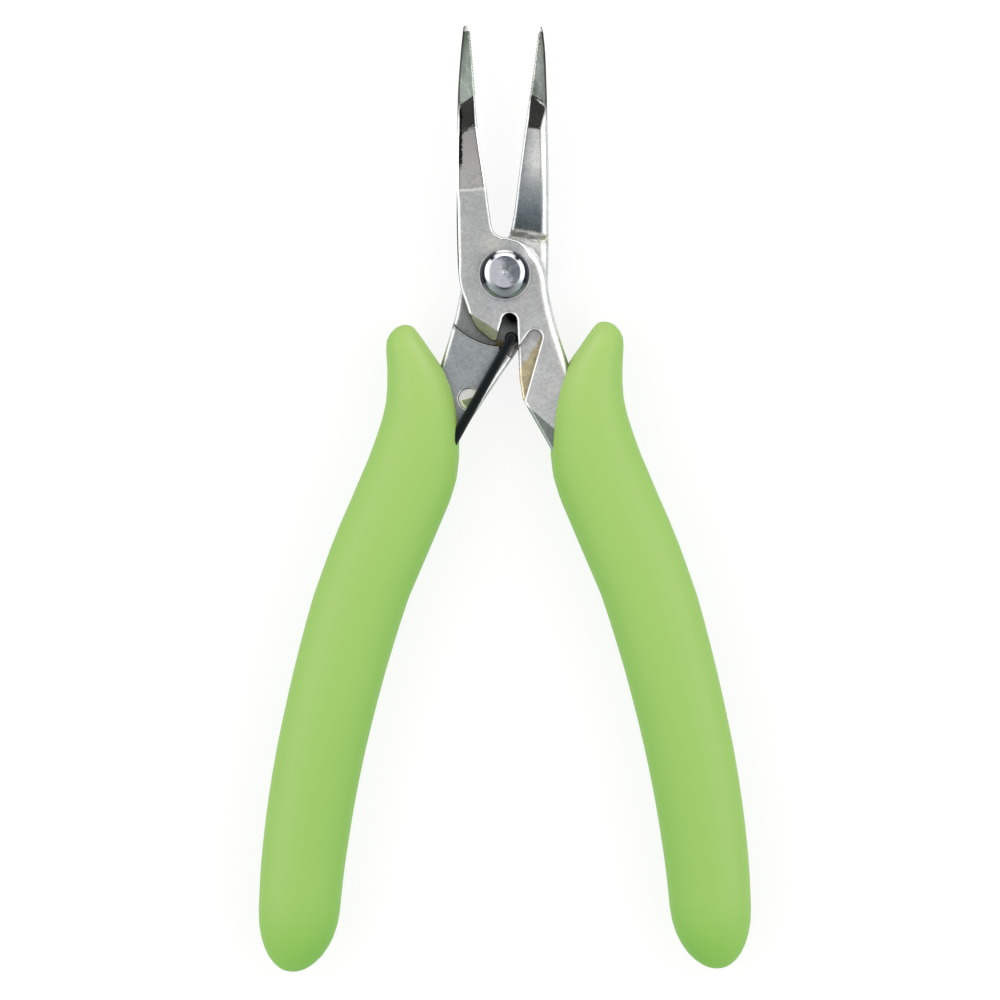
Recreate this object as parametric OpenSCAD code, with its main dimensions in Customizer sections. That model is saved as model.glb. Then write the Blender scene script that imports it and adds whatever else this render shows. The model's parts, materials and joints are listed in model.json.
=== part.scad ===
// Needle nose pliers: two plate levers on one rivet, a wire return spring and two soft grips.
// Shapes are drawn about the pivot axis with the jaws along +Y, then lifted so that the tool
// lies on z = 0 with the middle of its outline at the origin.

/* [Placement] */
// Distance from the middle of the tool to the pivot, along the tool
pivot_y = 34.4; // [33.8:0.1:35]
// Height of the pivot's mid-plane above the table
pivot_z = 5.1; // [4.8:0.1:5.4]

/* [Joint] */
// Thickness of each lever where the two overlap
lap = 2.5; // [2.3:0.1:2.7]
// Extra thickness of each handle behind its overlap
step = 1.0; // [0.9:0.05:1.1]
// Radius of the round recess that the other lever turns in
recess_r = 10.9; // [10.8:0.05:11]
// Radius of the rivet's shank
shank_r = 2.5; // [2.2:0.1:2.8]
// Radial clearance of the shank in the turning lever
shank_gap = 0.05; // [0.02:0.01:0.08]
// Radius of the rivet's polished head
head_r = 3.75; // [3.6:0.05:3.8]

/* [Jaws] */
// Half thickness of each jaw at its very tip
tip_half = 0.7; // [0.6:0.05:0.8]
// Number of teeth on each gripping face
teeth = 19; // [12:1:22]
// Depth of a tooth
tooth_depth = 0.14; // [0.05:0.01:0.2]

/* [Spring] */
// Radius of the spring wire
wire_r = 0.8; // [0.7:0.05:0.85]
// Radius of the knob that the slot pushes
knob_r = 0.9; // [0.8:0.05:0.95]

/* [Grips] */
// Number of rings along a grip
grip_rings = 40; // [20:4:60]
// Number of points around a grip
grip_sides = 32; // [16:4:40]

/* [Hidden] */
$fn = 96;

steel = [0.72, 0.73, 0.74];
bright_steel = [0.86, 0.87, 0.9];
black_wire = [0.08, 0.08, 0.09];
soft_green = [0.62, 0.82, 0.42];

lap_gap = 0.02;              // half the gap between the two levers
slab_gap = 0.05;             // gap between a flat part and what slides over it
washer_t = 0.25;             // thickness of the washer under the rivet's head
far = 120;                   // longer than the tool, for cutting blocks

jaw_lean_left = 5.5;         // lean of the left jaw's axis away from +Y, degrees
jaw_lean_right = -8.5;       // the same for the right jaw

slot_top = [0.75, -7.1];     // centre of the round end of the spring slot
slot_r = 1.15;
pocket_floor = 1.7;          // height of the pocket's floor in the front lever
flange_under = step + slab_gap;

peg_hole = [-5.4, -19];      // round blind hole in the rear lever's handle
peg_hole_r = 1.6;
peg_hole_deep = 1.5;

knob = [1.0, -9.7];          // where the slot holds the spring
foot = [-10.4, -30.15];      // where the spring's foot sits in the rear lever
foot_gap = 0.05;
wire_z = step + slab_gap + wire_r;
arm = knob - foot;
arm_length = norm(arm);
arm_angle = atan2(arm[1], arm[0]);
swing_in = 7.2;              // turn of the spring while the handles close, degrees
swing_out = 2.2;             // and while they are pulled fully open

// Grip stations for a right-hand grip: distance along the tool, inner edge, outer edge, half depth
stations = [
    [-4, 13.6, 17.6, 2.4],
    [-10, 12.3, 18.2, 3.4],
    [-15, 9.1, 18.0, 4.4],
    [-20, 7.5, 18.3, 5.0],
    [-26, 6.95, 20.1, 5.3],
    [-32, 7.55, 22.6, 5.4],
    [-40, 10.7, 26.05, 5.45],
    [-50, 14.9, 29.6, 5.4],
    [-62, 18.6, 32.7, 5.35],
    [-75, 21.8, 35.4, 5.3],
    [-88, 24.1, 37.15, 5.3],
    [-98, 25.3, 37.75, 5.3],
    [-110, 26.0, 38.0, 5.3]
];
grip_top = -7.6;
grip_end = -106.9;
top_round = 3.4;             // length of the rounded end at the top
end_round = 9.5;             // and at the bottom
grip_power = 2.3;            // 2 is an ellipse, more is squarer
right_shift = [0.1, 0.5];    // the right grip sits a little higher than the left one
tang_half = 3.3;
tang_end = -86;
tang_gap = 0.05;

// Point t of the way from b to c on the smooth curve through a, b, c, d
function between(a, b, c, d, t) =
    0.5 * (2 * b + (c - a) * t + (2 * a - 5 * b + 4 * c - d) * t * t
           + (3 * b - a - 3 * c + d) * t * t * t);

// Smooth curve through all of the points
function curve(p, n = 6) = concat(
    [for (i = [0 : len(p) - 2], k = [0 : n - 1])
        between(p[max(i - 1, 0)], p[i], p[i + 1], p[min(i + 2, len(p) - 1)], k / n)],
    [p[len(p) - 1]]);

function arc(c, r, from, to, n = 12) =
    [for (i = [0 : n]) c + r * [cos(from + (to - from) * i / n), sin(from + (to - from) * i / n)]];

// Row of teeth from point a to point b, cut to the right of that direction
function tooth_row(a, b) =
    let (along = (b - a) / teeth, side = [b[1] - a[1], a[0] - b[0]] / norm(b - a))
    [for (i = [0 : teeth - 1], k = [0 : 1])
        a + along * (i + k / 2) + side * tooth_depth * k];

function mirrored(p) = [for (q = p) [-q[0], q[1]]];

function below(p) = [p[0], -p[1]];

function reversed(p) = [for (i = [len(p) - 1 : -1 : 0]) p[i]];

// Row of the station table that holds y, and the smooth value of a column there
function row_of(y, i = 1) =
    i >= len(stations) - 3 || y > stations[i + 1][0] ? i : row_of(y, i + 1);

function station(y, column) =
    let (i = row_of(y), t = (stations[i][0] - y) / (stations[i][0] - stations[i + 1][0]))
    between(stations[i - 1][column], stations[i][column],
            stations[i + 1][column], stations[i + 2][column], t);

function grip_mid(y) = (station(y, 1) + station(y, 2)) / 2;

// 1 along the grip, and falling to 0 round each end
function end_factor(y) =
    let (u = max(0, 1 - (grip_top - y) / top_round), v = max(0, 1 - (y - grip_end) / end_round))
    sqrt(max(0, 1 - pow(max(u, v), 2)));

// Tang edge inside the grip: side 1 is the outer edge, side -1 the inner one
function tang_edge(side) =
    [for (y = [-34 : -10 : tang_end + 2]) [grip_mid(y) + side * tang_half, y]];

function tang_tip() = arc([grip_mid(tang_end), tang_end], tang_half, 180, 360, 10);

// Outline of the front lever: left jaw, round lobe, spring slot, right handle, joint disc
front_outline = concat(
    [[-5.6, 38.25], [-6.1, 38.3]],
    curve([[-6.35, 38], [-6.78, 33.5], [-7.15, 28], [-7.33, 20], [-7.35, 10], [-7.05, 0],
           [-6.05, -4], [-4.5, -7.8], [-2.1, -9.95]]),
    arc([-1.6, -9.65], 0.5, 235, 370, 8),
    [slot_top - [slot_r, 0]],
    arc(slot_top, slot_r, 170, 0, 14),
    [[1.97, -9.5], [2.1, -11.5], [2.3, -16], [2.8, -19.1], [7.3, -27]],
    tang_edge(-1), tang_tip(), reversed(tang_edge(1)),
    [[14.1, -27]],
    curve([[9.7, -13.3], [8, -8], [6.9, -3.4], [6.5, -0.4], [5.5, 2.35], [3.55, 4.6], [0.7, 5.65]]),
    curve([[-0.5, 5.75], [-1.75, 6.75], [-2.3, 9.5], [-2.95, 14.5], [-4.05, 22], [-4.58, 27.4]]),
    tooth_row([-4.6, 27.6], [-5.4, 37.2])
);

// Outline of the rear lever: right jaw, left handle, joint disc
rear_outline = concat(
    [[5.35, 38.2], [5.7, 38.1]],
    curve([[5.95, 37.2], [6.25, 34], [6.45, 29], [6.58, 24], [6.75, 17], [6.75, 9], [6.7, 0],
           [6.1, -4], [5.0, -7.4], [3.6, -9.3]]),
    [[2.0, -11.7], [-1, -16], [-7.6, -25.9], [-8.7, -28.5], [-9.4, -31.5]],
    mirrored(tang_edge(-1)), mirrored(tang_tip()), mirrored(reversed(tang_edge(1))),
    [[-14.1, -27]],
    curve([[-9.7, -13.5], [-8.2, -8.5], [-7.3, -5], [-6.6, -1.5], [-6, 1.2], [-4.8, 3.2],
           [-3, 4.85], [-0.6, 5.6]]),
    curve([[0.45, 5.7], [0.95, 7], [1.53, 10], [2.13, 15], [3.2, 23], [3.85, 27.4]]),
    tooth_row([3.88, 27.6], [5.2, 37.4])
);

// Moves a part drawn about the pivot to its place above the table
module at_pivot() {
    translate([0, pivot_y, pivot_z]) children();
}

// Side view of a lever that turns on its back: distance along the jaw, height.
// The face is flat past the joint, then slopes, gently and then more steeply, to the flat tip.
// The back rises from the joint by a short ledge.
module jaw_profile() {
    slope_foot = [22.9, 1.55];
    tip_foot = [27.1, 0.8];
    tip = [39, tip_half];
    polygon([
        [-far, lap_gap], [-far, lap], [13.4, lap], slope_foot, tip_foot, tip,
        below(tip), below(tip_foot), below(slope_foot),
        [12.6, -2.1], [7.1, -step], [6.25, lap_gap]
    ]);
}

// Everything a lever may fill: a jaw and joint layer, and the thicker handle beyond the recess
module lever_stock(lean) {
    rotate([0, 0, lean]) rotate([90, 0, 90])
        translate([0, 0, -far / 2]) linear_extrude(far) jaw_profile();
    translate([0, 0, -step]) linear_extrude(step + lap) difference() {
        translate([-far / 2, -far]) square([far, far - 4]);
        circle(r = recess_r);
    }
}

module pivot_bore(gap) {
    translate([0, 0, -far / 2]) cylinder(r = shank_r + gap, h = far);
}

// Pocket in the front lever beside the spring slot
module pocket() {
    translate([0, 0, pocket_floor]) linear_extrude(lap) hull() {
        translate([4.6, -9.6]) circle(r = 1.15);
        translate([2.6, -12]) circle(r = 0.2);
        translate([2.95, -19.2]) circle(r = 0.1);
        translate([1.2, -16]) circle(r = 0.2);
        translate([1.2, -12.5]) circle(r = 0.1);
    }
}

// The thin flange under the pocket clears the rear lever's inner edge as the handles close
module flange_relief() {
    translate([0, 0, -step - 1]) linear_extrude(step + 1 + flange_under) difference() {
        polygon([[-3, -8], [6.2, -8], [5.75, -10], [3.9, -16], [2.9, -20.2], [-3, -20.2]]);
        circle(r = recess_r - 0.15);
    }
}

module front_lever() {
    at_pivot() color(steel) difference() {
        intersection() {
            translate([0, 0, -lap - 1]) linear_extrude(2 * lap + 2) polygon(front_outline);
            lever_stock(jaw_lean_left);
        }
        pivot_bore(shank_gap);
        pocket();
        flange_relief();
    }
}

// Corner of the rear lever's recess, where its wall leaves the circle beside the spring
module recess_corner() {
    translate([0, 0, -lap_gap]) linear_extrude(lap)
        polygon([[-1.25, -9.5], [-1.2, -10.3], [-0.4, -11.5], [1.2, -12.9], [4, -12], [4, -9]]);
}

module rear_lever() {
    at_pivot() color(steel) difference() {
        intersection() {
            translate([0, 0, -lap - 1]) linear_extrude(2 * lap + 2) polygon(rear_outline);
            rotate([0, 180, 0]) lever_stock(-jaw_lean_right);
        }
        pivot_bore(0);
        recess_corner();
        translate(concat(peg_hole, step - peg_hole_deep)) cylinder(r = peg_hole_r, h = far);
        translate(concat(foot, -far / 2)) cylinder(r = wire_r + foot_gap, h = far);
    }
}

// Rivet: polished head with a flat turned centre, shank, and a low peened tail
module pivot_rivet() {
    head_foot = lap + washer_t;
    head_h = 1.3;
    flat_r = 2.45;
    tail_r = 3.3;
    tail_h = 0.9;
    at_pivot() color(bright_steel) rotate_extrude() polygon(concat(
        [[0, -lap - tail_h], [2.2, -lap - tail_h]],
        arc([2.2, -lap - lap_gap], tail_h - lap_gap, 290, 360, 6),
        [[tail_r, -lap - 0.25], [tail_r, -lap - lap_gap], [shank_r, -lap - lap_gap],
         [shank_r, head_foot + lap_gap], [head_r, head_foot + lap_gap]],
        [for (a = [0 : 15 : 90]) [flat_r + (head_r - flat_r) * cos(a),
                                  head_foot + 0.3 + (head_h - 0.3) * sin(a)]],
        [[0, head_foot + head_h]]
    ));
}

module pivot_washer() {
    washer_r = 4.0;
    at_pivot() color(steel) translate([0, 0, lap + lap_gap]) difference() {
        cylinder(r = washer_r, h = washer_t - lap_gap);
        translate([0, 0, -1]) cylinder(r = shank_r + shank_gap, h = 3);
    }
}

// Bent wire: a knob in the slot, a straight arm and a foot in the rear lever
module return_spring() {
    foot_deep = 3;
    at_pivot() color(black_wire) {
        translate([foot[0], foot[1], wire_z]) {
            sphere(r = wire_r);
            translate([0, 0, -foot_deep]) cylinder(r = wire_r, h = foot_deep);
            rotate([0, 0, arm_angle]) rotate([0, 90, 0]) cylinder(r = wire_r, h = arm_length);
        }
        translate([knob[0], knob[1], 0.25]) {
            cylinder(r = knob_r, h = wire_z + wire_r - 0.4);
            translate([0, 0, wire_z + wire_r - 0.4]) cylinder(r1 = knob_r, r2 = 0.7, h = 0.2);
        }
    }
}

// Body of a right-hand grip: rounded sections stacked along the tool, closed by a point at each end
module grip_body() {
    function ring_y(i) = grip_top + (grip_end - grip_top) * (1 - cos(180 * i / grip_rings)) / 2;
    function bend(c) = sign(c) * pow(abs(c), 2 / grip_power);
    function ring(y) =
        let (f = end_factor(y), w = (station(y, 2) - station(y, 1)) / 2 * f, d = station(y, 3) * f)
        [for (k = [0 : grip_sides - 1])
            [grip_mid(y) + w * bend(cos(360 * k / grip_sides)), y,
             d * bend(sin(360 * k / grip_sides))]];
    body = [for (i = [1 : grip_rings - 1]) each ring(ring_y(i))];
    first = len(body);
    last_ring = (grip_rings - 2) * grip_sides;
    function at(i, k) = i * grip_sides + k % grip_sides;
    polyhedron(
        points = concat(body, [[grip_mid(grip_top), grip_top, 0], [grip_mid(grip_end), grip_end, 0]]),
        faces = concat(
            [for (i = [0 : grip_rings - 3], k = [0 : grip_sides - 1])
                each [[at(i, k), at(i, k + 1), at(i + 1, k + 1)],
                      [at(i, k), at(i + 1, k + 1), at(i + 1, k)]]],
            [for (k = [0 : grip_sides - 1]) [first, at(0, k + 1), at(0, k)]],
            [for (k = [0 : grip_sides - 1])
                [first + 1, last_ring + k, last_ring + (k + 1) % grip_sides]]));
}

// Keeps what is above the table
module flat_back() {
    translate([-far / 2, -far, -pivot_z]) cube([far, 2 * far, 2 * pivot_z + 2]);
}

// Room for a lever's handle, which is between two heights
module tang_room(outline, low, high) {
    translate([0, 0, low - tang_gap]) linear_extrude(high - low + 2 * tang_gap)
        offset(delta = tang_gap) polygon(outline);
}

// Room for the spring's arm and foot as they turn about the foot
module spring_room() {
    room_r = wire_r + 0.15;
    translate([foot[0], foot[1], step - 0.5]) {
        cylinder(r = room_r + 0.2, h = wire_z + room_r - step + 0.5);
        linear_extrude(wire_z + room_r - step + 0.5)
            for (turn = [-swing_out, swing_in / 2, swing_in])
                rotate([0, 0, arm_angle + turn]) translate([0, -room_r]) square([16, 2 * room_r]);
    }
}

module left_grip() {
    at_pivot() color(soft_green) difference() {
        intersection() {
            mirror([1, 0, 0]) grip_body();
            flat_back();
        }
        tang_room(rear_outline, -lap, step);
        spring_room();
    }
}

module right_grip() {
    at_pivot() color(soft_green) difference() {
        intersection() {
            translate(right_shift) grip_body();
            flat_back();
        }
        tang_room(front_outline, -step, lap);
    }
}

front_lever();
rear_lever();
pivot_rivet();
pivot_washer();
return_spring();
left_grip();
right_grip();
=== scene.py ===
import json
import math

import bmesh
import bpy
import numpy as np
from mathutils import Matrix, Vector
from mathutils.bvhtree import BVHTree
from mathutils.geometry import delaunay_2d_cdt
from mathutils.kdtree import KDTree


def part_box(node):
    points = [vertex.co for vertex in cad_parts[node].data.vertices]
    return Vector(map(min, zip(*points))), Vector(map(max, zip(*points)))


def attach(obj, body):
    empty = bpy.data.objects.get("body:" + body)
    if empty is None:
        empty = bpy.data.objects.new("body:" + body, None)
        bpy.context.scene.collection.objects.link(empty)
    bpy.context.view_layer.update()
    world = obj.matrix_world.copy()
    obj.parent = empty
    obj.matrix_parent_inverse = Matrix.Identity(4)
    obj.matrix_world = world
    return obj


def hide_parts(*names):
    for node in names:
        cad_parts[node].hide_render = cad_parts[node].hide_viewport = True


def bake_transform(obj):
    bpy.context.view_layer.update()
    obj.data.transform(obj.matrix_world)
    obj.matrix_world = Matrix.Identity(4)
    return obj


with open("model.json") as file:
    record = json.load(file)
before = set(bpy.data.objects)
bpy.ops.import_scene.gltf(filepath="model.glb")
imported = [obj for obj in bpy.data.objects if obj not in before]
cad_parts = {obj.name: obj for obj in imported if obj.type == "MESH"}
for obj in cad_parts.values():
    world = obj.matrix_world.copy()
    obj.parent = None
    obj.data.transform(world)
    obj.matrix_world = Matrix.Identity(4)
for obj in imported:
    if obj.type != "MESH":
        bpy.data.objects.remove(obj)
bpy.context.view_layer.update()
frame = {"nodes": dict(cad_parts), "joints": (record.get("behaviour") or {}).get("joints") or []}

MM = 0.001
JOINTS = {j["name"]: j for j in frame["joints"]}
PIVOT = np.array(JOINTS["pivot"]["pos_m"]) / MM
FOOT = np.array(JOINTS["spring_flex"]["pos_m"]) / MM
RIVET_OFFSET = (0.02, 0.3)  # the rivet's flat is peened a little off its centre, in mm


JAW_FRONT, JAW_REAR = 5.5, -8.5          # how far each jaw's axis leans, in degrees
SLOPE_FRONT = (13.4, 2.5, 0.1)           # where a jaw's slope starts, its height there and its fall
SLOPE_REAR = (12.6, 2.1, 0.0534)
HOLLOW = (22.9, 1.55, 0.1786)            # the same for the steeper hollow
TIP = (27.1, 0.8, 0.0084)                # and for the tip's own facet
LOBE_A, LOBE_B = np.array([-5.45, -5.85]), np.array([-1.15, -8.6])
NICK_A, NICK_B = np.array([3.7, -20.3]), np.array([7.6, -23.6])
PEG = np.array([-5.4, -19.0])            # the blind hole in the rear lever's handle


# ---------------------------------------------------------------- node materials

def adder(tree):
    """A function that adds a node to the tree, its inputs given as values or as other nodes' outputs."""
    def add(kind, inputs=None, **settings):
        node = tree.nodes.new(kind)
        for key, value in settings.items():
            setattr(node, key, value)
        for key, value in (inputs or {}).items():
            if isinstance(value, bpy.types.NodeSocket):
                tree.links.new(value, node.inputs[key])
            else:
                node.inputs[key].default_value = value
        return node

    return add


def new_material(name):
    """A node material with its tree, its Principled shader and a function that adds linked nodes."""
    material = bpy.data.materials.new(name)
    material.use_nodes = True
    tree = material.node_tree
    return material, tree, tree.nodes["Principled BSDF"], adder(tree)


def noise(add, place, scale, detail=3.0, rough=0.5):
    return add("ShaderNodeTexNoise", {"Vector": place, "Scale": scale, "Detail": detail,
                                      "Roughness": rough}).outputs["Fac"]


def remap(add, value, low, high, start=0.0, end=1.0):
    return add("ShaderNodeMapRange", {"Value": value, "From Min": start, "From Max": end,
                                      "To Min": low, "To Max": high}).outputs["Result"]


def math_node(add, operation, a, b=0.0):
    return add("ShaderNodeMath", {0: a, 1: b}, operation=operation).outputs[0]


def tinted(add, colour, mask, tint):
    """The colour, multiplied by the tint where the mask is 1."""
    mixed = add("ShaderNodeMix", {"Factor": mask, 6: colour, 7: (*tint, 1)},
                data_type="RGBA", blend_type="MULTIPLY")
    return mixed.outputs[2]


def within(add, value, low, high, soft):
    """A mask that is 1 between two values, with soft ends. All in metres."""
    rise = remap(add, value, 0.0, 1.0, low - soft, low + soft)
    fall = remap(add, value, 1.0, 0.0, high - soft, high + soft)
    return math_node(add, "MINIMUM", rise, fall)


def about_pivot(add, lean=0.0):
    """Coordinates about the pivot as (across, along, up), turned so that +Y runs along a leaning jaw."""
    place = add("ShaderNodeTexCoord").outputs["Object"]
    centred = add("ShaderNodeVectorMath", {0: place, 1: tuple(-PIVOT * MM)}, operation="ADD").outputs[0]
    turned = add("ShaderNodeVectorRotate", {"Vector": centred, "Angle": math.radians(-lean)},
                 rotation_type="Z_AXIS").outputs[0]
    parts = add("ShaderNodeSeparateXYZ", {0: turned})
    return place, parts.outputs["X"], parts.outputs["Y"], parts.outputs["Z"]


def facing_up(add, low, high):
    """A mask that is 1 on level faces and 0 on steep ones, by the upward part of the normal."""
    normal = add("ShaderNodeSeparateXYZ", {0: add("ShaderNodeNewGeometry").outputs["Normal"]})
    return remap(add, normal.outputs["Z"], 0.0, 1.0, low, high)


def spot(add, across, along, lean, x, y, near, far):
    """A mask that is 1 round a point given about the pivot and fades between two distances, in mm."""
    c, s = math.cos(math.radians(lean)), math.sin(math.radians(lean))
    dx = math_node(add, "SUBTRACT", across, (x * c + y * s) * MM)
    dy = math_node(add, "SUBTRACT", along, (y * c - x * s) * MM)
    away = add("ShaderNodeVectorMath", {0: add("ShaderNodeCombineXYZ", {"X": dx, "Y": dy}).outputs[0]},
               operation="LENGTH").outputs["Value"]
    return remap(add, away, 1.0, 0.0, near * MM, far * MM)


def right_of(add, across, along, lean, a, b, soft=0.06):
    """A mask that is 1 to the right of the line from a to b, given about the pivot in mm."""
    c, s = math.cos(math.radians(lean)), math.sin(math.radians(lean))
    ax, ay = a[0] * c + a[1] * s, a[1] * c - a[0] * s
    bx, by = b[0] * c + b[1] * s, b[1] * c - b[0] * s
    size = math.hypot(bx - ax, by - ay)
    nx, ny = (by - ay) / size, (ax - bx) / size
    value = math_node(add, "ADD", math_node(add, "MULTIPLY", across, nx), math_node(add, "MULTIPLY", along, ny))
    start = (nx * ax + ny * ay) * MM
    return remap(add, value, 0.0, 1.0, start - soft * MM, start + soft * MM)


def steel(name, lean=0.0, tints_and_painted_light=None):
    """Tumbled stainless steel: fine speckle and clouds, polished tips with painted dark reflections and painted
    highlights, painted dark reflections in the hollow and on the tips' outer bevels, and painted shade in the
    corners.

    The last argument, given (add, colour, place, across, along, up), adds one lever's own tints and its painted
    light and shade, which its back is free of."""
    outward = math.copysign(1, -lean)
    shift = 5.5 if lean > 0 else -1.5
    material, tree, shader, add = new_material(name)
    place, across, along, up = about_pivot(add, lean)
    fine = noise(add, place, 5200.0, 2.0, 0.65)
    grit = noise(add, place, 1700.0, 3.0, 0.6)
    cloud = noise(add, place, 380.0, 3.0)
    level = math_node(add, "ADD", remap(add, fine, 0.59, 0.67, 0.3, 0.7),
                      remap(add, cloud, -0.055, 0.055, 0.3, 0.7))
    level = math_node(add, "ADD", level, remap(add, grit, -0.06, 0.06, 0.35, 0.65))
    warm = noise(add, place, 240.0, 2.0)
    tint = add("ShaderNodeMix", {"Factor": warm, 6: (1.0, 1.0, 0.985, 1), 7: (0.955, 1.0, 1.03, 1)},
               data_type="RGBA")
    plain = add("ShaderNodeVectorMath", {0: tint.outputs[2], "Scale": level}, operation="SCALE").outputs[0]
    tip = remap(add, along, 0.0, 1.0, 26.6 * MM, 27.6 * MM)
    streak = noise(add, add("ShaderNodeVectorMath", {0: place, 1: (900, 90, 90)},
                            operation="MULTIPLY").outputs[0], 1.0, 2.0)
    # Painted dark reflection on the polished tips: greenish from the grips, streaked, and darkest towards the ends.
    colour = tinted(add, plain, tip, (0.84, 0.92, 0.83))
    colour = tinted(add, colour, math_node(add, "MULTIPLY", tip, remap(add, streak, 0, 1, 0.45, 0.6)),
                    (0.72, 0.76, 0.72))
    colour = tinted(add, colour, remap(add, along, 0.0, 1.0, 31 * MM, 38 * MM), (0.45, 0.46, 0.43))
    # Two painted highlight lines across each tip.
    sheen = math_node(add, "ADD", math_node(add, "MULTIPLY", across, 1.6), math_node(add, "ADD", along, remap(
        add, noise(add, place, 350.0, 3.0), -1.5 * MM, 1.5 * MM)))
    for start in (29.5, 33.0):
        gleam = math_node(add, "MULTIPLY", tip, within(add, sheen, (start - shift) * MM,
                                                      (start - shift + 0.35) * MM, 0.35 * MM))
        colour = tinted(add, colour, gleam, (1.3, 1.33, 1.28))
    # Painted dark reflection on the hollow's level faces.
    hollow = within(add, along, 22.9 * MM, 27 * MM, 0.4 * MM)
    colour = tinted(add, colour, math_node(add, "MULTIPLY", hollow, facing_up(add, 0.93, 0.97)), (0.6, 0.62, 0.6))
    if tints_and_painted_light:
        colour = tints_and_painted_light(add, colour, place, across, along, up)
    normal = add("ShaderNodeSeparateXYZ", {0: add("ShaderNodeNewGeometry").outputs["Normal"]})
    # Painted dark reflection on the tips' outer bevels.
    outer = remap(add, math_node(add, "MULTIPLY", normal.outputs["X"], outward), 0.0, 1.0, 0.1, 0.3)
    outer = math_node(add, "MULTIPLY", outer, remap(add, normal.outputs["Z"], 0.0, 1.0, 0.08, 0.2))
    colour = tinted(add, colour, math_node(add, "MULTIPLY", outer, remap(add, along, 0.0, 1.0, 24 * MM, 27 * MM)),
                    (0.12, 0.12, 0.12))
    # Painted highlight on the ends of the tips.
    cap = math_node(add, "MULTIPLY", remap(add, along, 0.0, 1.0, 37.75 * MM, 37.9 * MM), facing_up(add, 0.2, 0.4))
    colour = tinted(add, colour, cap, (7.5, 6.8, 7.5))
    back = remap(add, normal.outputs["Z"], 1.0, 0.0, -0.5, -0.2)
    colour = add("ShaderNodeMix", {"Factor": back, 6: colour, 7: plain}, data_type="RGBA").outputs[2]
    # Painted shade: darker in corners and recesses by ambient occlusion, only below 3 to 5.5 mm up the jaws from
    # the pivot.
    corner = add("ShaderNodeAmbientOcclusion", {"Distance": 2.2 * MM}, samples=6).outputs["AO"]
    shade_free = remap(add, along, 0.0, 1.0, 3.0 * MM, 5.5 * MM)
    corner_shade = math_node(add, "MAXIMUM", remap(add, corner, 0.22, 1.0, 0.25, 0.9), shade_free)
    colour = add("ShaderNodeVectorMath", {0: colour, "Scale": corner_shade}, operation="SCALE").outputs[0]
    tree.links.new(colour, shader.inputs["Base Color"])
    ground = remap(add, along, 0.0, 1.0, 12.6 * MM, 13.4 * MM)
    rough = add("ShaderNodeMix", {"Factor": ground, 2: remap(add, fine, 0.20, 0.32, 0.3, 0.7),
                                  3: 0.13}).outputs[0]
    tree.links.new(rough, shader.inputs["Roughness"])
    bump = add("ShaderNodeBump", {"Height": fine, "Distance": 0.00003,
                                  "Strength": remap(add, ground, 0.09, 0.055)})
    tree.links.new(bump.outputs["Normal"], shader.inputs["Normal"])
    shader.inputs["Metallic"].default_value = 1.0
    return material


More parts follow.
